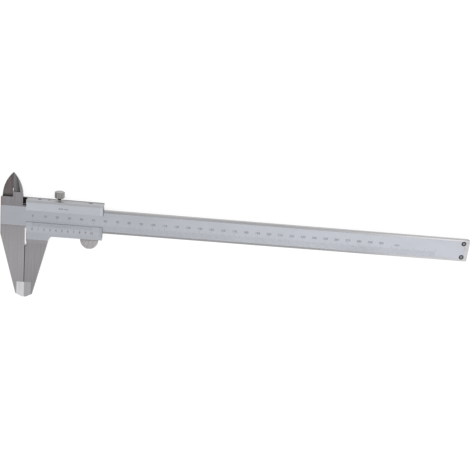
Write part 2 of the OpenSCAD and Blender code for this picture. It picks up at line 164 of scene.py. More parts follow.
# 1 within a half width of the middle, fading to 0 at the faded half width
def strip(tree, value, middle, half, faded):
    away = calc(tree, "ABSOLUTE", calc(tree, "SUBTRACT", value, middle))
    return ramp(tree, away, faded, half, shape="SMOOTHSTEP")


# length of two offsets at a right angle
def distance(tree, first, second):
    squares = calc(tree, "ADD", times(tree, first, first), times(tree, second, second))
    return calc(tree, "SQRT", squares)


# blend of two colours, each a socket or red, green and blue
def mixColour(tree, factor, *colours):
    first, second = [(*colour, 1) if isinstance(colour, tuple) else colour for colour in colours]
    node = addNode(tree, "ShaderNodeMix", {0: factor, 6: first, 7: second}, data_type="RGBA")
    return node.outputs[2]


# a colour made lighter and darker by a value around 1
def shade(tree, colour, value):
    scaled = addNode(tree, "ShaderNodeVectorMath", {0: colour, "Scale": value}, operation="SCALE")
    return scaled.outputs[0]


# place on the piece in millimetres, as a vector and as x, y and z
def placeOn(tree):
    coords = addNode(tree, "ShaderNodeTexCoord").outputs["Object"]
    place = addNode(tree, "ShaderNodeVectorMath", {0: coords, "Scale": 1 / mm}, operation="SCALE")
    axes = addNode(tree, "ShaderNodeSeparateXYZ", {0: place.outputs[0]})
    return place.outputs[0], axes.outputs[0], axes.outputs[1], axes.outputs[2]


# 1 where a face looks along an axis: 0, 1 and 2 are +X, +Y and +Z, the graduated side
def facing(tree, axis):
    normal = addNode(tree, "ShaderNodeTexCoord").outputs["Normal"]
    return ramp(tree, addNode(tree, "ShaderNodeSeparateXYZ", {0: normal}).outputs[axis], *faceEdge)


# a place turned about Z by some degrees
def turnedPlace(tree, place, degrees):
    inputs = {"Vector": place, "Angle": math.radians(degrees)}
    return addNode(tree, "ShaderNodeVectorRotate", inputs, rotation_type="Z_AXIS").outputs[0]


# noise around 0.5, with its grains per millimetre given along each axis
def grain(tree, place, perMm, detail=plainDetail):
    mapped = addNode(tree, "ShaderNodeMapping", {"Vector": place, "Scale": perMm}).outputs[0]
    inputs = {"Vector": mapped, "Scale": 1.0, "Detail": detail, "Roughness": noiseRoughness}
    return addNode(tree, "ShaderNodeTexNoise", inputs).outputs["Fac"]


# noise spread from low to high
def fromNoise(tree, noise, low, high, around=span):
    return ramp(tree, noise, 0.5 - around, 0.5 + around, low, high)


def startMaterial(name, metallic):
    material = bpy.data.materials.new(name)
    material.use_nodes = True
    tree = material.node_tree
    shader = tree.nodes["Principled BSDF"]
    shader.inputs["Metallic"].default_value = metallic
    return material, tree, shader


def bumpFrom(tree, shader, height, depth):
    inputs = {"Height": height, "Distance": depth * mm, "Strength": 1.0}
    feed(tree, shader.inputs["Normal"], addNode(tree, "ShaderNodeBump", inputs).outputs[0])


satin = {
    "colour": (0.470, 0.486, 0.528),
    "tones": (0.96, 1.04),
    "roughness": (0.34, 0.42),
    "blast": (5.0, 5.0, 5.0),       # grains per millimetre of the matt blasting
    "cloud": (0.05, 0.09, 0.09),    # slow change of tone
}
ground = {
    "colour": (0.395, 0.394, 0.406),
    "jawColour": (0.404, 0.391, 0.404),     # outside jaws and head, a little warmer
    "tones": (0.84, 1.16),
    "roughness": (0.11, 0.19),
    "alongX": (0.05, 7.0, 7.0),     # fine grinding lines
    "alongY": (7.0, 0.05, 7.0),
    "wideX": (0.015, 0.9, 0.9),     # broad streaks
    "wideY": (0.9, 0.02, 0.9),
    "shares": (0.6, 0.4),           # of the lines and of the streaks
    "depth": 0.0012,
}


# grinding lines that run along X, or along Y where the mask is 1
def groundLines(tree, place, across, kind):
    return choose(tree, across, *[grain(tree, place, ground[kind + axis]) for axis in "XY"])


# satin where its mask is 1 and ground steel of a given colour elsewhere
def satinAndGround(tree, shader, place, satinMask, across, groundColour, satinColour, rougher=0.0):
    fine = groundLines(tree, place, across, "along")
    broad = groundLines(tree, place, across, "wide")
    blast = grain(tree, place, satin["blast"], richDetail)
    cloud = grain(tree, place, satin["cloud"])
    fineShare, broadShare = ground["shares"]
    streak = calc(tree, "ADD", times(tree, fine, fineShare), times(tree, broad, broadShare))
    groundTone = fromNoise(tree, streak, *ground["tones"])
    satinTone = fromNoise(tree, cloud, *satin["tones"], wideSpan)
    colour = mixColour(
        tree, satinMask, shade(tree, groundColour, groundTone), shade(tree, satinColour, satinTone)
    )
    feed(tree, shader.inputs["Base Color"], colour)
    groundRough = calc(tree, "ADD", fromNoise(tree, fine, *ground["roughness"], wideSpan), rougher)
    satinRough = fromNoise(tree, blast, *satin["roughness"], wideSpan)
    feed(tree, shader.inputs["Roughness"], choose(tree, satinMask, groundRough, satinRough))
    bumpFrom(tree, shader, choose(tree, satinMask, fine, blast), ground["depth"])


# tones of the outside jaws: two heights each with their tones, and single tones
jawTones = {
    "upper": (-24.0, 0.0, 1.0, 1.07),
    "lower": (-49.0, -24.0, 0.81, 1.0),
    "facet": 1.08,              # thinned tips
    "contact": 0.40,            # painted shade on the broken edges where the jaws touch
}


# painted shade along the broken edges of the outside measuring plane, between the relief and the thinned
# tips
def contactLine(tree, x, y):
    return times(
        tree,
        between(tree, x, beam["jaw"] - beam["jawEdge"], beam["jaw"] + beam["jawEdge"]),
        between(tree, y, beam["facetTop"], beam["reliefFoot"], 2 * blend),
    )


def inFacet(tree, y, z):
    return times(
        tree,
        ramp(tree, y, beam["facetTop"] + crisp, beam["facetTop"] - crisp),
        ramp(tree, z, beam["front"] - crisp, beam["front"] - 3 * crisp),
    )


# the jaws darken from their root to the thinned tips, which are bright
def jawTone(tree, y, z):
    along = times(tree, ramp(tree, y, *jawTones["upper"]), ramp(tree, y, *jawTones["lower"]))
    return choose(tree, inFacet(tree, y, z), along, jawTones["facet"])


# the plain ground colour, warmer where the mask is 1 but not on the thinned tips
def groundOrJaw(tree, mask, y, z):
    warm = calc(tree, "SUBTRACT", mask, inFacet(tree, y, z))
    return mixColour(tree, warm, ground["colour"], ground["jawColour"])


beamFinish = {
    "head": (20.0, 30.0, 1.02, 1.19),       # heights on the head and its blade, and their tones
    "leftEdge": (0.9, 0.86),                # broken edge at the head's left, and the tone of its painted shade
    "bandEdge": (7.2, 7.9, 1.08),           # painted highlight: the head's satin lightens this far from its middle
    "near": (5.0, 50.0, 0.935, 1.0),        # places along the satin, and their tones
    "far": (200.0, 380.0, 1.0, 0.945),
    "rails": (210.0, 280.0, 0.945, 1.0),    # and along the rails
    "border": 0.84,                         # tone of the lower rail and of the far end's border
    "hollow": (0.51, 0.08),                 # painted reflection: tones of the hollow grind at its edge and its shoulder
    "lappedReflection": 2.1,                          # painted reflection: tone of the outside measuring face
    "relief": 0.45,                         # painted shade: tone of the wall above it,
    "reliefTop": (-0.5, -1.0),              # which starts between these heights
    "slot": 0.07,                           # painted shade in the narrow gap between the head and the slider
    "slotEdge": 0.2,                        # painted shade on the broken edge of the head beside it, this wide
    "slotFoot": (19.0, 19.5),               # it darkens between these heights
    "slotTop": 0.3,                         # and fades over this above the slider
    "shadedStretch": (266.0, 298.0, 14.0),           # painted shade along a stretch of the lower edge: from, to and fading
    "shadedEdge": (0.9, 0.66),                # width and tone of the painted shade on its broken edge
    "shadedEdgeDepth": (0.4, 0.3),                # which ends between these below the front
    "shadedBand": (9.0, 3.0, 0.94),           # heights over which painted shade darkens the band too, and its tone
}


# painted shade in the gap beside the slider: on the head's right wall up to the slider's top, and on its
# broken edge
def inSlot(tree, x, y):
    f = beamFinish
    edge = beam["headRight"] - f["slotEdge"]
    wall = times(tree, facing(tree, 0), ramp(tree, y, slider["top"] + f["slotTop"], slider["top"]))
    return times(
        tree,
        either(tree, wall, between(tree, x, edge, slider["left"])),
        between(tree, x, edge - crisp, slider["left"]),
        ramp(tree, y, *f["slotFoot"]),
    )


# tone of the painted shade on a stretch of the lower rail's front edge
def dullEdgeTone(tree, y, z, inShadedStretch):
    width, tone = beamFinish["shadedEdge"]
    deep, shallow = beamFinish["shadedEdgeDepth"]
    onEdge = times(
        tree,
        ramp(tree, y, width, width - 2 * blend),
        ramp(tree, z, beam["front"] - deep, beam["front"] - shallow),
        inShadedStretch,
    )
    return choose(tree, onEdge, 1.0, tone)


# tone of the ground rails, jaw, head and blade, with painted reflection that darkens the hollow grind to
# its shoulder, and painted light and shade at the measuring face, relief, slot and contact line
def groundBeamTone(tree, x, y, z, across, inShadedStretch):
    f = beamFinish
    rightWall = facing(tree, 0)
    # painted reflection: the lapped measuring face is made lighter
    lappedReflection = times(tree, rightWall, between(tree, x, beam["jaw"] - crisp, beam["jaw"] + crisp))
    # painted shade on the fixed jaw's relief wall
    inRelief = times(
        tree,
        rightWall,
        between(tree, x, beam["relief"] - blend / 2, beam["relief"] + blend / 2),
        ramp(tree, y, *f["reliefTop"]),
    )
    lowerRail = ramp(tree, y, beam["rail"], beam["rail"] - blend)
    farBorder = ramp(tree, x, beam["bandEnd"], beam["bandEnd"] + blend)
    offHead = ramp(tree, x, beam["jaw"], beam["jaw"] + blend)
    onBorder = times(tree, either(tree, lowerRail, farBorder), offHead)
    tone = choose(tree, lappedReflection, 1.0, f["lappedReflection"])
    tone = choose(tree, inRelief, tone, f["relief"])
    tone = choose(tree, onBorder, tone, f["border"])
    onRails = times(tree, ramp(tree, x, *f["rails"]), dullEdgeTone(tree, y, z, inShadedStretch))
    aboveJaw = ramp(tree, y, -crisp / 2, crisp / 2)
    onHead = choose(tree, aboveJaw, jawTone(tree, y, z), ramp(tree, y, *f["head"]))
    tone = times(tree, tone, choose(tree, across, onRails, onHead))
    tone = choose(tree, contactLine(tree, x, y), tone, jawTones["contact"])
    # painted shade in the gap beside the slider
    tone = choose(tree, inSlot(tree, x, y), tone, f["slot"])
    # painted reflection: the hollow grind darkens from its edge to its shoulder
    inHollow = times(
        tree,
        ramp(tree, y, beam["hollowFoot"], beam["hollowFoot"] + crisp),
        ramp(tree, z, beam["front"] - crisp / 2, beam["front"] - 1.5 * crisp),
    )
    shoulder = beam["insideEdge"] + beam["hollowWidth"]
    return choose(tree, inHollow, tone, ramp(tree, x, beam["insideEdge"], shoulder, *f["hollow"]))


# tone of the satin along the beam, and its painted highlight at its edges on the head
def bandTone(tree, x, y, across):
    start, end, tone = beamFinish["bandEdge"]
    offMiddle = calc(tree, "ABSOLUTE", calc(tree, "SUBTRACT", y, beam["width"] / 2))
    onEdge = times(tree, across, ramp(tree, offMiddle, start, end))
    along = times(tree, ramp(tree, x, *beamFinish["near"]), ramp(tree, x, *beamFinish["far"]))
    return times(tree, along, choose(tree, onEdge, 1.0, tone))


# satin graduated band, and ground steel elsewhere with its lines across on the head and jaw
def beamMaterial():
    material, tree, shader = startMaterial("beamSteel", 1.0)
    place, x, y, z = placeOn(tree)
    inBand = times(
        tree,
        between(tree, y, beam["rail"], beam["width"] - beam["rail"]),
        between(tree, z, beam["bandFace"] - 3 * crisp, beam["bandFace"] + 3 * crisp),
        ramp(tree, x, beam["bandEnd"] + crisp, beam["bandEnd"] - crisp),
    )
    across = ramp(tree, x, beam["jaw"] + blend, beam["jaw"])
    # painted shade along a stretch of the lower edge and of the band above it
    inShadedStretch = between(tree, x, *beamFinish["shadedStretch"])
    # painted shade on the head's broken left edge
    width, tone = beamFinish["leftEdge"]
    leftTone = ramp(tree, x, beam["left"] + width, beam["left"] + width + blend, tone, 1.0)
    start, end, tone = beamFinish["shadedBand"]
    shadedBandTone = choose(tree, times(tree, ramp(tree, y, start, end), inShadedStretch), 1.0, tone)
    # painted shade of the head's left edge and of that stretch
    paintedShade = times(tree, leftTone, shadedBandTone)
    groundTone = times(tree, groundBeamTone(tree, x, y, z, across, inShadedStretch), paintedShade)
    satinTone = times(tree, bandTone(tree, x, y, across), paintedShade)
    satinAndGround(
        tree, shader, place, inBand, across,
        shade(tree, groundOrJaw(tree, across, y, z), groundTone),
        shade(tree, satin["colour"], satinTone),
    )
    return material


sliderFinish = {
    "strip": (0.444, 0.448, 0.468),         # plain strip above the upper bevel
    "topColour": (0.394, 0.395, 0.414),
    "top": (0.0, 4.8, 0.30, 1.08),          # painted shade: the top darkens towards its back edge; places from that edge, and their tones
    "topRougher": 0.22,
    "blade": (0.255, 0.228, 0.228),         # front of the moving blade and of its arm
    "bladeBand": (0.298, 0.246, 0.246),     # tinted band up the middle of the blade:
    "bandPlace": (-20.0, 0.5, 1.6),         # its middle, half width and faded half width
    "bladeFoot": (26.0, 28.8, 0.16, 1.0),   # painted shade at the blade's foot: heights, and their tones
    "armTop": (25.9, 25.6),                 # the arm is plain below these
    "bladeStreaks": (2.2, 0.06, 2.2),       # per millimetre
    "streakTones": (0.76, 1.24),
    "gap": (0.3, 0.08),                     # painted shade in the gap beside the head: its reach under the head, and its tone
    "thumb": (0.452, 0.434, 0.438),
    "thumbScratches": (0.25, 0.85, 0.85),   # per millimetre
    "scratchTones": (0.76, 1.24),
    "scratchesTurned": -50,                 # degrees
    "thumbLine": (-7.3, -6.3, 1.0, 0.68),   # painted shadow under the slider's edge: heights and tones
    "jaw": 0.85,                            # tone of the moving jaw
    "nearEdge": (0.3, 0.12),                # painted shade on the broken edge at the near end above the beam, and its tone
    "nearFoot": (19.0, 19.5),               # which starts between these heights
    "reliefEdge": (0.55, 0.62),             # the same beside the jaws' relief
    "reliefTop": (-0.5, 0.5),               # where that ends, and its fading
    "lipEnds": (55.0, 57.6),                # the bevels' far ends and their broken edges start here
    "upperEnd": (1.10, 0.62),               # painted highlight and shade: tones of the upper bevel there
    "vernierEnd": (0.92, 0.62),             # and painted shade on the vernier's, down to its foot
    "parting": (9.9, 10.1),                 # heights between the two bevels
    "flat": (-2.8, 0.2, 0.95, 1.0),         # heights from the vernier's flat up, and their tones
    "lineZone": (0.2, 2.2, 1.0, 0.92),      # and from there up to the lines
}


# painted light and shade: tones of a bevel's last part and of its broken edge
def lipEnd(tree, x, tones):
    start, edge = sliderFinish["lipEnds"]
    along = ramp(tree, x, start, start + 4 * blend, 1.0, tones[0])
    return choose(tree, ramp(tree, x, edge - blend / 2, edge + blend / 2), along, tones[1])


# tone of the two bevels and of the flat below the vernier's
def lipTone(tree, x, y):
    f = sliderFinish
    foot = slider["vernierFoot"][0]
    onBevel = choose(tree, ramp(tree, y, foot, foot + blend), 1.0, lipEnd(tree, x, f["vernierEnd"]))
    onVernier = times(tree, onBevel, ramp(tree, y, *f["flat"]), ramp(tree, y, *f["lineZone"]))
    return ramp(tree, y, *f["parting"], onVernier, lipEnd(tree, x, f["upperEnd"]))


# painted shade on the broken edges at the near end
def nearTone(tree, x, y):
    f = sliderFinish
    width, tone = f["nearEdge"]
    nearEdge = times(
        tree,
        between(tree, x, slider["left"] - 2 * crisp, slider["left"] + width),
        ramp(tree, y, *f["nearFoot"]),
    )
    width, reliefTone = f["reliefEdge"]
    reliefEdge = times(
        tree,
        between(tree, x, slider["relief"] - 2 * crisp, slider["relief"] + width),
        between(tree, y, beam["reliefFoot"], *f["reliefTop"]),
    )
    return times(tree, choose(tree, nearEdge, 1.0, tone), choose(tree, reliefEdge, 1.0, reliefTone))


# streaked blade with a tinted band and painted shade at its foot, and its arm, with painted shade in the
# gap beside the head
def bladeColour(tree, place, x, y, z):
    f = sliderFinish
    under, gapTone = f["gap"]
    # painted shade on the arm where it shows in the gap beside the head
    inGap = times(
        tree,
        between(tree, x, beam["headRight"] - under, slider["left"] - crisp),
        ramp(tree, z, slider["bladeFront"] + crisp, slider["bladeFront"]),
        ramp(tree, y, beam["width"] - blend, beam["width"]),
    )
    streak = fromNoise(tree, grain(tree, place, f["bladeStreaks"]), *f["streakTones"], narrowSpan)
    # painted shade at the blade's foot, under the head's top
    foot = either(tree, ramp(tree, y, *f["bladeFoot"]), ramp(tree, y, *f["armTop"]))
    colour = mixColour(tree, strip(tree, x, *f["bandPlace"]), f["blade"], f["bladeBand"])
    return shade(tree, colour, choose(tree, inGap, times(tree, foot, streak), gapTone))


# scratched thumb rest, with a painted shadow line under the slider
def thumbColour(tree, place, y):
    f = sliderFinish
    turned = turnedPlace(tree, place, f["scratchesTurned"])
    scratches = fromNoise(tree, grain(tree, turned, f["thumbScratches"], richDetail), *f["scratchTones"])
    # painted shadow line under the slider's lower edge
    return shade(tree, f["thumb"], times(tree, scratches, ramp(tree, y, *f["thumbLine"])))


# satin bevels, flats and jaw root; ground top, ends, back and jaw; darker blade and warm thumb rest
def sliderMaterial():
    material, tree, shader = startMaterial("sliderSteel", 1.0)
    place, x, y, z = placeOn(tree)
    f = sliderFinish
    toFront = facing(tree, 2)
    lowest = ramp(
        tree, y, slider["bottom"] - crisp, slider["bottom"] + crisp,
        slider["front"] - blend, slider["upperEdge"][1] - 2 * blend,
    )
    inSatin = times(
        tree,
        toFront,
        ramp(tree, calc(tree, "SUBTRACT", z, lowest), -crisp, crisp),
        ramp(tree, y, slider["rootFoot"] - crisp, slider["rootFoot"] + crisp),
    )
    onJaw = ramp(tree, y, slider["rootFoot"], slider["rootFoot"] - blend)
    leftOfSlider = ramp(tree, x, slider["left"] - crisp, slider["left"] - blend / 2)
    onArm = times(tree, leftOfSlider, ramp(tree, y, 0, 1))
    onThumb = times(
        tree,
        ramp(tree, x, slider["thumbLeft"], slider["thumbLeft"] + blend),
        ramp(tree, y, slider["bottom"] - crisp, slider["bottom"] - 3 * crisp),
    )
    onTop = times(
        tree,
        facing(tree, 1),
        ramp(tree, y, slider["top"] - blend, slider["top"] - blend / 2),
        ramp(tree, x, slider["left"] - crisp, slider["left"] + crisp),
    )
    stripLow = slider["upperFoot"][0]
    onStrip = times(tree, inSatin, ramp(tree, y, stripLow - crisp, stripLow + crisp))
    # painted shade: the top darkens towards its back edge
    tone = choose(tree, onTop, 1.0, ramp(tree, z, *f["top"]))
    tone = choose(tree, onJaw, tone, times(tree, jawTone(tree, y, z), f["jaw"]))
    tone = choose(tree, contactLine(tree, x, y), tone, jawTones["contact"])
    plain = mixColour(tree, onTop, groundOrJaw(tree, onJaw, y, z), f["topColour"])
    colour = mixColour(
        tree, times(tree, onArm, toFront), shade(tree, plain, tone), bladeColour(tree, place, x, y, z)
    )
    colour = mixColour(tree, onThumb, colour, thumbColour(tree, place, y))
    satinColour = mixColour(tree, onStrip, satin["colour"], f["strip"])
    # painted shade at the near end's broken edges and beside the jaws' relief
    edgeTone = nearTone(tree, x, y)
    satinAndGround(
        tree, shader, place, inSatin, either(tree, onJaw, onArm),
        shade(tree, colour, edgeTone),
        shade(tree, satinColour, times(tree, edgeTone, lipTone(tree, x, y))),
        times(tree, onTop, f["topRougher"]),
    )
    return material


# fine ground steel of the hidden plates and bars, lines along X
def plainGroundMaterial():
    material, tree, shader = startMaterial("groundSteel", 1.0)
    fine = grain(tree, placeOn(tree)[0], ground["alongX"])
    colour = shade(tree, ground["colour"], fromNoise(tree, fine, *ground["tones"]))
    feed(tree, shader.inputs["Base Color"], colour)
    feed(tree, shader.inputs["Roughness"], fromNoise(tree, fine, *ground["roughness"], wideSpan))
    bumpFrom(tree, shader, fine, ground["depth"])
    return material


grubFinish = {
    "colour": (0.355, 0.352, 0.360),
    "tones": (0.75, 1.25),
    "roughness": (0.34, 0.46),
    "grains": (3.0, 3.0, 3.0),      # per millimetre
    "depth": 0.002,
}
bronzeFinish = {
    "colour": (0.60, 0.43, 0.23),
    "tones": (0.88, 1.12),
    "roughness": (0.30, 0.42),
    "grains": (0.1, 4.0, 4.0),
    "depth": 0.002,
}


# a metal with an uneven tone
def unevenMetal(name, finish):
    material, tree, shader = startMaterial(name, 1.0)
    mottle = grain(tree, placeOn(tree)[0], finish["grains"], richDetail)
    colour = shade(tree, finish["colour"], fromNoise(tree, mottle, *finish["tones"]))
    feed(tree, shader.inputs["Base Color"], colour)
    feed(tree, shader.inputs["Roughness"], fromNoise(tree, mottle, *finish["roughness"]))
    bumpFrom(tree, shader, mottle, finish["depth"])
    return material


screwGlint = {
    "inner": (0.25, 0.25, 0.255),
    "outer": (0.018, 0.018, 0.021),
    "radii": (0.8, 1.5),        # the painted highlight in the middle ends between these
    "rim": (0.38, 0.12),        # and the painted highlight on the rim starts between these, from its edge
    "tones": (0.8, 1.2),
    "roughness": (0.28, 0.40),
    "grains": (3.0, 3.0, 3.0),
}


# blackened screw with painted highlights around its axis and at its rim
def wornScrewMaterial(name):
    material, tree, shader = startMaterial(name, 1.0)
    place, x, y = placeOn(tree)[:3]
    f = screwGlint
    low, high = boxOf(name)
    middle = (low + high) / 2
    edge = (high[0] - low[0]) / 2
    outX = calc(tree, "SUBTRACT", x, middle[0])
    outY = calc(tree, "SUBTRACT", y, middle[1])
    radius = distance(tree, outX, outY)
    offMiddle = ramp(tree, radius, *f["radii"], shape="SMOOTHSTEP")
    rim = ramp(tree, radius, edge - f["rim"][0], edge - f["rim"][1])
    mottle = grain(tree, place, f["grains"], richDetail)
    colour = mixColour(tree, offMiddle, f["inner"], f["outer"])
    colour = mixColour(tree, rim, colour, f["inner"])
    feed(tree, shader.inputs["Base Color"], shade(tree, colour, fromNoise(tree, mottle, *f["tones"])))
    feed(tree, shader.inputs["Roughness"], fromNoise(tree, mottle, *f["roughness"]))
    return material


ink = {
    "lines": ((0.060, 0.062, 0.070), (0.130, 0.133, 0.145)),        # where it is full and where thin
    "figures": ((0.120, 0.124, 0.138), (0.200, 0.205, 0.222)),
    "roughness": (0.45, 0.65),
    "grains": (3.0, 3.0, 3.0),
}


# dark filling of the engraved marks, thin in places
def inkMaterial(name, full, thin):
    material, tree, shader = startMaterial(name, 0.0)
    worn = grain(tree, placeOn(tree)[0], ink["grains"], richDetail)
    colour = mixColour(tree, fromNoise(tree, worn, 0.0, 1.0, narrowSpan), full, thin)
    feed(tree, shader.inputs["Base Color"], colour)
    feed(tree, shader.inputs["Roughness"], fromNoise(tree, worn, *ink["roughness"], narrowSpan))
    return material


grubSteel = unevenMetal("wornBlackSteel", grubFinish)
groundSteel = plainGroundMaterial()
lineInk = inkMaterial("lineFilling", *ink["lines"])
figureInk = inkMaterial("figureFilling", *ink["figures"])
cadFinishes = {
    "main_beam": beamMaterial(),
    "slider": sliderMaterial(),
    "stopper_plate": groundSteel,
    "depth_bar": groundSteel,
    "depth_bar_pin_left": groundSteel,
    "depth_bar_pin_right": groundSteel,
    "gib": unevenMetal("bronzeStrip", bronzeFinish),
    "stopper_screw_upper": wornScrewMaterial("stopper_screw_upper"),
    "stopper_screw_lower": wornScrewMaterial("stopper_screw_lower"),
    "gib_pressing_screw_left": grubSteel,
    "gib_pressing_screw_right": grubSteel,
    "gib_setting_screw": grubSteel,
}
for name, material in cadFinishes.items():
    nodes[name].material_slots[0].link = "OBJECT"
    nodes[name].material_slots[0].material = material
print("finishes on", len(cadFinishes), "nodes")


# points in millimetres and faces as index lists become one object at the origin
def makePiece(name, points, faces, material, body, sharpAngle=None):
    mesh = bpy.data.meshes.new(name)
    mesh.from_pydata((np.asarray(points) * mm).tolist(), [], faces)
    shell = bmesh.new()
    shell.from_mesh(mesh)
    bmesh.ops.recalc_face_normals(shell, faces=shell.faces)
    shell.to_mesh(mesh)
    shell.free()
    if sharpAngle is not None:
        mesh.polygons.foreach_set("use_smooth", np.ones(len(mesh.polygons), bool))
        mesh.set_sharp_from_angle(angle=math.radians(sharpAngle))
    mesh.materials.append(material)
    piece = bpy.data.objects.new(name, mesh)
    bpy.context.scene.collection.objects.link(piece)
    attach(piece, body)
    return piece


# a flat face that carries marks: its zero point, and the axes of the reading, up the figures and out
def markFace(origin, up):
    along = np.array((1.0, 0.0, 0.0))
    up = np.array(up) / np.linalg.norm(up)
    return {"origin": np.array(origin, float), "axes": np.stack([along, up, np.cross(along, up)])}


# marks given as reading, height and lift go to origin + reading * along + height * up + lift * out
def layOn(face, marks):
    return face["origin"] + np.asarray(marks) @ face["axes"]


# one thin box per line: the eight corners of a unit cube, stretched and moved for all lines at once
def lineBoxes(readings, lows, highs, width, lift):
    corner = np.array([[i & 1, i >> 1 & 1, i >> 2 & 1] for i in range(8)], float)
    low = np.stack([readings - width / 2, lows, np.full(len(readings), -lift)], axis=1)
    high = np.stack([readings + width / 2, highs, np.full(len(readings), lift)], axis=1)
    points = low[:, None] + corner * (high - low)[:, None]
    sides = np.array([[0, 2, 3, 1], [4, 5, 7, 6], [0, 1, 5, 4], [2, 6, 7, 3], [0, 4, 6, 2], [1, 3, 7, 5]])
    faces = 8 * np.arange(len(readings))[:, None, None] + sides
    return points.reshape(-1, 3), faces.reshape(-1, 4).tolist()


lettering = {
    "sizePerHeight": 1 / 0.73,      # text size of a figure one unit high
    "resolution": 3,
    "thickness": 0.5,               # either way
    "weld": 1e-5,
    "upright": 0.5,                 # a wall's normal rises less than this
}


# sum of the normals of the upright walls at a corner of a word, straight out of its outline
def outOfWalls(corner):
    walls = [face.normal for face in corner.link_faces if abs(face.normal.z) < lettering["upright"]]
    return sum(walls, Vector()).normalized()


# outline of a word as a closed mesh, centred, each corner moved by weight * its way out of the outline
def wordMesh(word, weight):
    curve = bpy.data.curves.new("word", "FONT")
    curve.body = word
    curve.align_x = "CENTER"
    curve.resolution_u = lettering["resolution"]
    curve.extrude = lettering["thickness"]
    writing = bpy.data.objects.new("word", curve)
    bpy.context.scene.collection.objects.link(writing)
    mesh = bpy.data.meshes.new_from_object(writing.evaluated_get(bpy.context.evaluated_depsgraph_get()))
    shell = bmesh.new()
    shell.from_mesh(mesh)
    bmesh.ops.remove_doubles(shell, verts=shell.verts, dist=lettering["weld"])
    shell.normal_update()
    shell.verts.index_update()
    points = np.array([vertex.co + weight * outOfWalls(vertex) for vertex in shell.verts])
    faces = [[vertex.index for vertex in face.verts] for face in shell.faces]
    shell.free()
    bpy.data.objects.remove(writing)
    bpy.data.curves.remove(curve)
    bpy.data.meshes.remove(mesh)
    return points, faces


# words at their readings and one height on a face, joined into one piece; weight and lift are the scale's
def makeWords(name, body, face, words, readings, height, size, scale):
    textSize = size * lettering["sizePerHeight"]
    thickness = scale["lift"] / lettering["thickness"]
    points, faces, start = [], [], 0
    for word, reading in zip(words, readings):
        shape, sides = wordMesh(word, scale["weight"])
        flat = shape * (textSize, textSize, thickness)
        points.append(layOn(face, flat + (reading, height - size / 2, 0)))
        faces += [[start + corner for corner in side] for side in sides]
        start += len(shape)
    makePiece(name, np.concatenate(points), faces, figureInk, body)


mainScale = {
    "lines": 351,            # one each millimetre, run on past the last figure for the vernier
    "lineWidth": 0.10,
    "foot": 2.4,
    "tops": (7.0, 8.0, 9.2),        # of the lines, and of those at each of these steps
    "steps": (5, 10),
    "lastFigure": 300,
    "figureHeight": 11.1,
    "figureSize": 2.1,
    "weight": 0.012,
    "lift": 0.012,
}
unitMark = {"word": "mm", "reading": 314.5, "height": 10.4, "size": 2.1}
beamFace = markFace((0, 0, beam["bandFace"]), (0, 1, 0))
count = np.arange(mainScale["lines"])
longer = sum((count % step == 0).astype(int) for step in mainScale["steps"])
points, faces = lineBoxes(
    count, np.full(len(count), mainScale["foot"]), np.array(mainScale["tops"])[longer],
    mainScale["lineWidth"], mainScale["lift"],
)
makePiece("main_scale_lines", layOn(beamFace, points), faces, lineInk, "beam")
figures = np.arange(0, mainScale["lastFigure"] + 1, mainScale["steps"][1])
makeWords(
    "main_scale_figures", "beam", beamFace, [str(figure) for figure in figures], figures,
    mainScale["figureHeight"], mainScale["figureSize"], mainScale,
)
makeWords(
    "main_scale_unit", "beam", beamFace, [unitMark["word"]], [unitMark["reading"]],
    unitMark["height"], unitMark["size"], mainScale,
)
print("main scale marked")

vernier = {
    "lines": 51,
    "pitch": 0.98,           # fifty parts over forty-nine millimetres
    "figureStep": 5,
    "lineWidth": 0.13,
    "start": 0.1,            # distances down the bevel from its thin edge
    "ends": (2.7, 3.5),      # lines, and those with a figure
    "figureDrop": 5.3,
    "figureSize": 2.0,
    "weight": 0.025,
    "lift": 0.012,
}
valueMark = {"word": "0.02 mm", "reading": 25.0, "height": 3.9, "size": 1.6}
edge, foot = slider["vernierEdge"], slider["vernierFoot"]
vernierFace = markFace((0, *edge), (0, edge[0] - foot[0], edge[1] - foot[1]))
count = np.arange(vernier["lines"])
longer = (count % vernier["figureStep"] == 0).astype(int)
points, faces = lineBoxes(
    count * vernier["pitch"], -np.array(vernier["ends"])[longer], np.full(len(count), -vernier["start"]),
    vernier["lineWidth"], vernier["lift"],
)
makePiece("vernier_lines", layOn(vernierFace, points), faces, lineInk, "slider")
figured = count[::vernier["figureStep"]]
makeWords(
    "vernier_figures", "slider", vernierFace, [str(figure) for figure in range(len(figured))],
    figured * vernier["pitch"], -vernier["figureDrop"], vernier["figureSize"], vernier,
)
edge, foot = slider["upperEdge"], slider["upperFoot"]
upperFace = markFace((0, *edge), (0, foot[0] - edge[0], foot[1] - edge[1]))
makeWords(
    "vernier_value", "slider", upperFace, [valueMark["word"]], [valueMark["reading"]],
    valueMark["height"], valueMark["size"], vernier,
)
print("vernier marked")


# a turned surface: radius of a profile row and an angle, carried round the screw's axis at its height
def turnedSurface(radius, heights, axisX, axisZ):
    rows, sides = radius.shape
    angle = np.linspace(0, 2 * np.pi, sides, endpoint=False)
    x = axisX + radius * np.cos(angle)
    z = axisZ + radius * np.sin(angle)
    ring = np.stack([x, np.broadcast_to(heights, radius.shape), z], axis=2).reshape(-1, 3)
    poles = [[axisX, heights[0].mean(), axisZ], [axisX, heights[-1].mean(), axisZ]]
    around = np.arange(sides)
    following = (around + 1) % sides
    row = sides * np.arange(rows - 1)[:, None]
    quads = np.stack([row + around, row + following, row + sides + following, row + sides + around], axis=2)
    bottom = np.stack([np.full(sides, rows * sides), following, around], axis=1)
    last = (rows - 1) * sides
    top = np.stack([np.full(sides, rows * sides + 1), last + around, last + following], axis=1)
    faces = quads.reshape(-1, 4).tolist() + bottom.tolist() + top.tolist()
    return np.concatenate([ring, poles]), faces


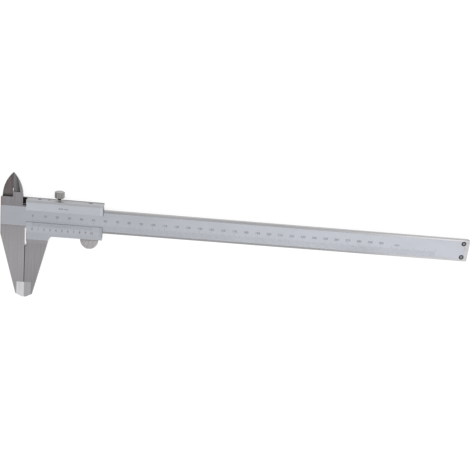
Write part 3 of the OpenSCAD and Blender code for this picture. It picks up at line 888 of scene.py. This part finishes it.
lockScrew = {
    "stand": 2.6,            # head above the slider
    "knurls": 30,
    "knurlDepth": 0.28,
    "stepsPerKnurl": 8,
    "chamfer": 0.4,
    "dish": (2.8, 0.15),     # radius and depth of the turned recess in the top
    "shank": 1.4,
    "neck": 1.1,
    "neckHeight": 0.7,
    "inHead": 0.3,           # the neck runs this far into the head
    "pitch": 0.5,
    "threadDepth": 0.27,
    "stepsPerPitch": 6,
    "sides": 48,
    "tipBevel": 0.4,
    "sharpAngle": 25,        # degrees
}
lockFinish = {
    "colour": (0.45, 0.44, 0.435),
    "tones": (0.9, 1.1),
    "roughness": (0.20, 0.32),
    "grains": (4.0, 4.0, 4.0),
    "top": (0.86, 0.66),            # painted light and shade: tones of the top at its back and at its front
    "topEdge": (0.45, 0.35),        # it starts between these below its rim
    "knurls": (0.22, 0.98),         # tones at their bottom and at their crests
    "knurlDarkDepth": (0.26, 0.04),      # and how far below the crests these are
    "left": (-4.0, -2.0, 0.55, 1.0),    # painted shade: places on the left side, and their tones
    "right": (1.4, 0.5, 1.5),       # painted highlight: a lighter strip on the right,
    "rightTone": 1.28,              # and its tone
    "thread": (0.15, 0.55),         # tones at its bottom and at its crests
    "threadDarkDepth": 0.25,
    "foot": (0.4, 0.8, 1.9),        # painted highlight: the thread is lighter below these heights, and its tone
}


# head: the smaller of a turned profile's radius and of a triangular wave of angle, which are the knurls
def lockHead(axisX, axisZ, low, high, radius):
    s = lockScrew
    dish, depth = s["dish"]
    profile = np.array([
        (s["neck"], low),
        (radius - s["chamfer"], low),
        (radius, low + s["chamfer"]),
        (radius, (low + high) / 2),
        (radius, high - s["chamfer"]),
        (radius - s["chamfer"], high),
        (dish + depth, high),
        (dish, high - depth),
        (dish / 2, high - depth),
    ])
    turn = np.arange(s["knurls"] * s["stepsPerKnurl"]) / s["stepsPerKnurl"]
    knurl = radius - s["knurlDepth"] * np.abs(2 * (turn % 1) - 1)
    return turnedSurface(np.minimum(profile[:, :1], knurl), profile[:, 1:], axisX, axisZ)


# shank: a radius that falls and rises once each pitch along a height that climbs with the angle, kept
# within a cone at the tip and a neck at the head
def lockShank(axisX, axisZ, low, high):
    s = lockScrew
    steps = int(round((high - low) / s["pitch"] * s["stepsPerPitch"]))
    heights = np.linspace(low, high, steps + 1)[:, None]
    climb = heights / s["pitch"] - np.arange(s["sides"]) / s["sides"]
    thread = s["shank"] - s["threadDepth"] * np.abs(2 * (climb % 1) - 1)
    tip = s["shank"] - s["tipBevel"] + (heights - low)
    neck = s["neck"] + np.maximum(0, high - heights - s["neckHeight"])
    return turnedSurface(np.minimum(thread, np.minimum(tip, neck)), heights, axisX, axisZ)


# bright plated screw: tone by the radius from its axis, darker low in its knurls and in its thread, with
# painted shade on its left side and painted light on its right side, on its top and at the foot of its
# thread
def knurledMaterial(axisX, axisZ, headLow, headRadius):
    material, tree, shader = startMaterial("knurledSteel", 1.0)
    place, x, y, z = placeOn(tree)
    f = lockFinish
    outX = calc(tree, "SUBTRACT", x, axisX)
    outZ = calc(tree, "SUBTRACT", z, axisZ)
    radius = distance(tree, outX, outZ)
    # the knurls darken towards their bottom
    low, high = f["knurlDarkDepth"]
    onSide = times(
        tree,
        ramp(tree, radius, headRadius - low, headRadius - high, *f["knurls"]),
        ramp(tree, outX, *f["left"]),
        choose(tree, strip(tree, outX, *f["right"]), 1.0, f["rightTone"]),
    )
    low, high = f["topEdge"]
    onTop = ramp(tree, y, lockHigh[1] - low, lockHigh[1] - high)
    headTone = choose(tree, onTop, onSide, ramp(tree, outZ, -headRadius, headRadius, *f["top"]))
    threadTop = lockScrew["shank"]
    inThread = ramp(tree, radius, threadTop - f["threadDarkDepth"], threadTop, *f["thread"])
    # painted highlight at the thread's foot
    low, high, footHighlight = f["foot"]
    onShank = choose(tree, ramp(tree, y, slider["top"] + low, slider["top"] + high), footHighlight, inThread)
    inHead = ramp(tree, y, headLow - crisp / 2, headLow + crisp / 2)
    mottle = grain(tree, place, f["grains"], richDetail)
    tone = times(tree, choose(tree, inHead, onShank, headTone), fromNoise(tree, mottle, *f["tones"]))
    feed(tree, shader.inputs["Base Color"], shade(tree, f["colour"], tone))
    feed(tree, shader.inputs["Roughness"], fromNoise(tree, mottle, *f["roughness"]))
    return material


axisX, axisZ = lockPivot[0], lockPivot[2]
headLow = slider["top"] + lockScrew["stand"]
headRadius = (lockHigh[0] - lockLow[0]) / 2
headPoints, headFaces = lockHead(axisX, axisZ, headLow, lockHigh[1], headRadius)
shankPoints, shankFaces = lockShank(axisX, axisZ, lockLow[1], headLow + lockScrew["inHead"])
lockFaces = headFaces + [[len(headPoints) + corner for corner in face] for face in shankFaces]
lockPiece = makePiece(
    "knurled_locking_screw", np.concatenate([headPoints, shankPoints]), lockFaces,
    knurledMaterial(axisX, axisZ, headLow, headRadius),
    "locking_screw", lockScrew["sharpAngle"],
)
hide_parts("locking_screw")
print("locking screw turned")

# white floor under the slider's back; seen from below it is clear
floor = {
    "size": 8.0,                 # metres
    "tone": 0.30,
    "glows": (0.80, 0.80),       # light added as the camera sees it, and as the steel mirrors it
}
floorMesh = bpy.data.meshes.new("floor")
half = floor["size"] / 2
floorMesh.from_pydata(
    [(-half, -half, 0), (half, -half, 0), (half, half, 0), (-half, half, 0)], [], [(0, 1, 2, 3)]
)
floorMaterial = bpy.data.materials.new("whiteFloor")
floorMaterial.use_nodes = True
tree = floorMaterial.node_tree
tree.nodes.remove(tree.nodes["Principled BSDF"])
path = addNode(tree, "ShaderNodeLightPath").outputs
mirrored = either(tree, path["Is Glossy Ray"], path["Is Transmission Ray"])
seenGlow, mirroredGlow = floor["glows"]
glow = calc(
    tree, "ADD", times(tree, path["Is Camera Ray"], seenGlow), times(tree, mirrored, mirroredGlow)
)
paint = addNode(tree, "ShaderNodeBsdfDiffuse", {"Color": (*[floor["tone"]] * 3, 1)}).outputs[0]
light = addNode(tree, "ShaderNodeEmission", {"Strength": glow}).outputs[0]
lit = addNode(tree, "ShaderNodeAddShader", {0: paint, 1: light}).outputs[0]
clear = addNode(tree, "ShaderNodeBsdfTransparent").outputs[0]
below = addNode(tree, "ShaderNodeNewGeometry").outputs["Backfacing"]
oneSided = addNode(tree, "ShaderNodeMixShader", {0: below, 1: lit, 2: clear}).outputs[0]
feed(tree, tree.nodes["Material Output"].inputs["Surface"], oneSided)
floorMesh.materials.append(floorMaterial)
floorPiece = bpy.data.objects.new("floor", floorMesh)
bpy.context.scene.collection.objects.link(floorPiece)

# light tent: white, a little dimmer near the floor, with a slanting soft box overhead on the right and a
# dim opening on the left; each of these gives its middle, half width, faded half width and level
tent = {
    "levels": (0.80, 1.02),         # near the floor and above
    "wallTop": 0.5,
    "overhead": (0.65, 0.88),       # heights between which both fade in
    "softBox": (0.71, 0.14, 0.20, 1.94),
    "softBoxAcross": (1.0, -0.9, 0.0),
    "opening": (-0.23, 0.12, 0.21, 0.37),
    "openingFrom": (-0.37, -0.26),  # it fades in between these along Y,
    "openingTo": (0.22, 0.02),      # and out between these
}
world = bpy.data.worlds.new("lightTent")
world.use_nodes = True
bpy.context.scene.world = world
tree = world.node_tree
direction = addNode(tree, "ShaderNodeTexCoord").outputs["Generated"]
sideways, upPicture, upwards = addNode(tree, "ShaderNodeSeparateXYZ", {0: direction}).outputs
slanting = addNode(
    tree, "ShaderNodeVectorMath", {0: direction, 1: tent["softBoxAcross"]}, operation="DOT_PRODUCT"
).outputs["Value"]
overhead = ramp(tree, upwards, *tent["overhead"])
*boxPlace, boxLevel = tent["softBox"]
*openingPlace, openingLevel = tent["opening"]
inSoftBox = times(tree, strip(tree, slanting, *boxPlace), overhead)
inOpening = times(
    tree,
    strip(tree, sideways, *openingPlace),
    ramp(tree, upPicture, *tent["openingFrom"]),
    ramp(tree, upPicture, *tent["openingTo"]),
    overhead,
)
walls = ramp(tree, upwards, 0, tent["wallTop"], *tent["levels"])
strength = choose(tree, inOpening, choose(tree, inSoftBox, walls, boxLevel), openingLevel)
seen = addNode(tree, "ShaderNodeLightPath").outputs["Is Camera Ray"]
feed(tree, tree.nodes["Background"].inputs["Strength"], choose(tree, seen, strength, 1.0))
tree.nodes["Background"].inputs["Color"].default_value = (1.0, 1.0, 1.0, 1)
print("floor and light set")

# camera at the photograph's place; the caliper lies turned a little to the picture's upright
view = {
    "place": (98.06, 206.95, 630.79),
    "lookAt": (170.73, 7.98, 6.65),
    "turned": 6.22,          # degrees
    "lens": 58.64,
    "sensor": 36.0,
    "clip": (0.01, 100),     # metres
}
cameraData = bpy.data.cameras.new("camera")
cameraData.lens = view["lens"]
cameraData.sensor_width = view["sensor"]
cameraData.clip_start, cameraData.clip_end = view["clip"]
camera = bpy.data.objects.new("camera", cameraData)
back = (Vector(view["place"]) - Vector(view["lookAt"])).normalized()
turned = math.radians(view["turned"])
right = Vector((-math.sin(turned), math.cos(turned), 0)).cross(back).normalized()
turn = Matrix((right, back.cross(right), back)).transposed().to_4x4()
camera.matrix_world = Matrix.Translation(Vector(view["place"]) * mm) @ turn
bpy.context.scene.collection.objects.link(camera)
bpy.context.scene.camera = camera
bpy.context.scene.view_settings.view_transform = "Standard"
